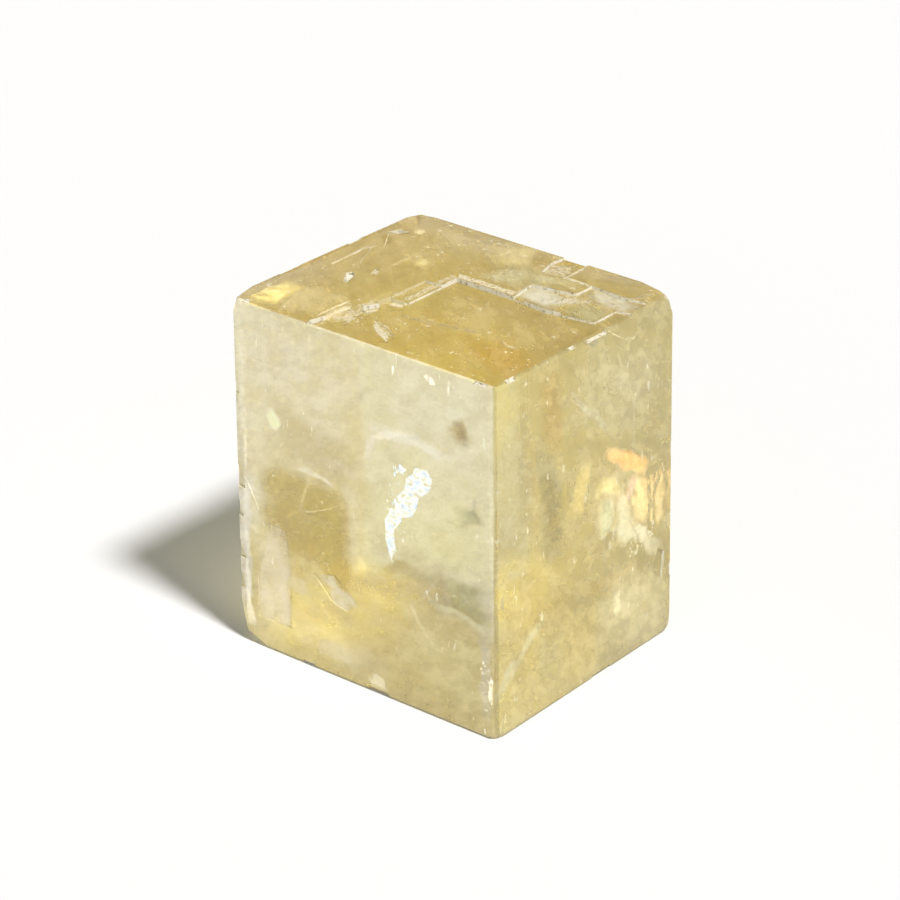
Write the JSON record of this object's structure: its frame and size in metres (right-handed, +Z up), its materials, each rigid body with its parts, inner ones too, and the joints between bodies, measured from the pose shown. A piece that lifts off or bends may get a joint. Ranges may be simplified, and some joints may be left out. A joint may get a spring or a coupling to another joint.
{
  "type": "calcite cleavage rhomb",
  "caption": "Clear honey-yellow calcite cleavage block, a leaning rhomb with stepped ledges, worn edges and small chips, standing on one flat cleavage face.",
  "frame": {"origin": "middle of the bottom of the crystal's box, on the surface that it stands on", "axes": "+Z up from the flat cleavage face that it rests on; +Y the way the upright edges lean, from the bottom front corner to the top back one, and the longest side of the box; +X to the right of that"},
  "size_m": [0.0422, 0.0448, 0.0322],
  "materials": {
    "honey_calcite": "clear cleavage faces, lightly worn"
  },
  "bodies": {
    "root": {"calcite_rhomb": "honey_calcite"}
  },
  "joints": []
}
